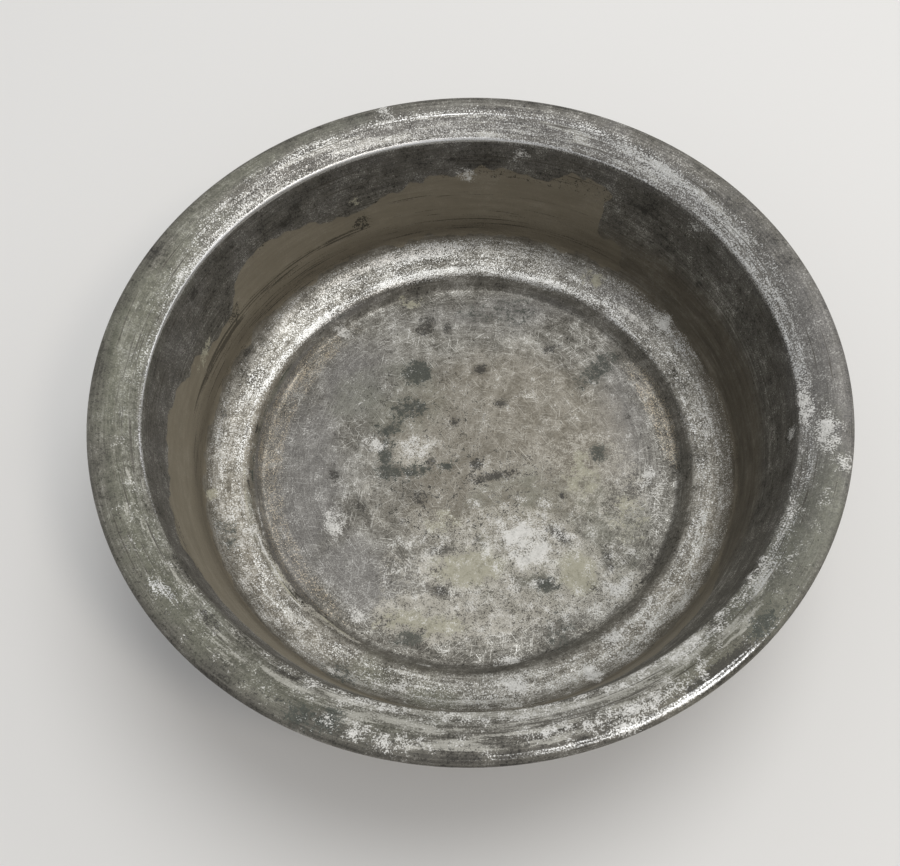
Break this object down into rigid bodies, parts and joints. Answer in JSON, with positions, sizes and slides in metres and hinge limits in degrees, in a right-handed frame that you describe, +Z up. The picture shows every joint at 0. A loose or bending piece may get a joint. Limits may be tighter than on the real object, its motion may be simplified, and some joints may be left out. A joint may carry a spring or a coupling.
{
  "type": "shaving bowl",
  "caption": "Round metal shaving bowl with a sloping flanged rim, a steep wall, and a sunken flat centre that forms its foot.",
  "frame": {"origin": "centre of the foot's flat underside, on the surface that the bowl stands on", "axes": "+Z up along the bowl's axis of symmetry; +X to the right and +Y away from a person who uses it"},
  "size_m": [0.25, 0.25, 0.067],
  "materials": {
    "tinned_copper": "tin wash over copper, worn, dulled and spotted, with fine turning marks around the rim",
    "iron_wire": "plain drawn iron wire, darkened"
  },
  "bodies": {
    "root": {"bowl_body": "tinned_copper", "rim_wire": "iron_wire"}
  },
  "joints": []
}
